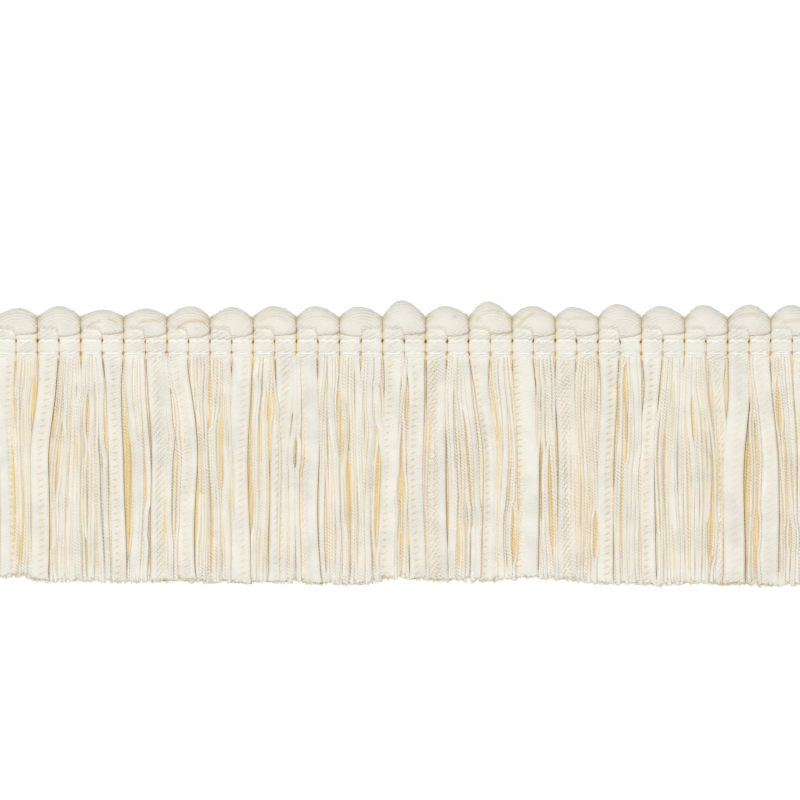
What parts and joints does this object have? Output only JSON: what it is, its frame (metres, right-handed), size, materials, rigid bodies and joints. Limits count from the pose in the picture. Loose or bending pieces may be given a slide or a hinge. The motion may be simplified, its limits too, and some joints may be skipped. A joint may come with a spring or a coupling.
{
  "type": "brush fringe trim",
  "caption": "Straight cut length of cream brush fringe: turned yarn loops along the top, held by rows of lock stitch, over a thick skirt of cut knit tapes and yarns.",
  "frame": {"origin": "middle of the flat back, under the middle of the trim's length and depth", "axes": "+X along the heading, +Y from the cut line to the turned loops, +Z out of the face"},
  "size_m": [0.1718, 0.0542, 0.0047],
  "materials": {
    "cream_cotton_yarn": "matt knitted and twisted cotton yarn",
    "white_sewing_thread": "fine sewing thread with a slight sheen"
  },
  "bodies": {
    "root": {"turned_bundle_01": "cream_cotton_yarn", "turned_bundle_02": "cream_cotton_yarn", "turned_bundle_03": "cream_cotton_yarn", "turned_bundle_04": "cream_cotton_yarn", "turned_bundle_05": "cream_cotton_yarn", "turned_bundle_06": "cream_cotton_yarn", "turned_bundle_07": "cream_cotton_yarn", "turned_bundle_08": "cream_cotton_yarn", "turned_bundle_09": "cream_cotton_yarn", "turned_bundle_10": "cream_cotton_yarn", "turned_bundle_11": "cream_cotton_yarn", "turned_bundle_12": "cream_cotton_yarn", "turned_bundle_13": "cream_cotton_yarn", "turned_bundle_14": "cream_cotton_yarn", "turned_bundle_15": "cream_cotton_yarn", "turned_bundle_16": "cream_cotton_yarn", "turned_bundle_17": "cream_cotton_yarn", "turned_bundle_18": "cream_cotton_yarn", "turned_bundle_19": "cream_cotton_yarn", "turned_bundle_20": "cream_cotton_yarn", "turned_bundle_21": "cream_cotton_yarn", "lock_stitch_upper": "white_sewing_thread", "lock_stitch_lower": "white_sewing_thread"}
  },
  "joints": []
}
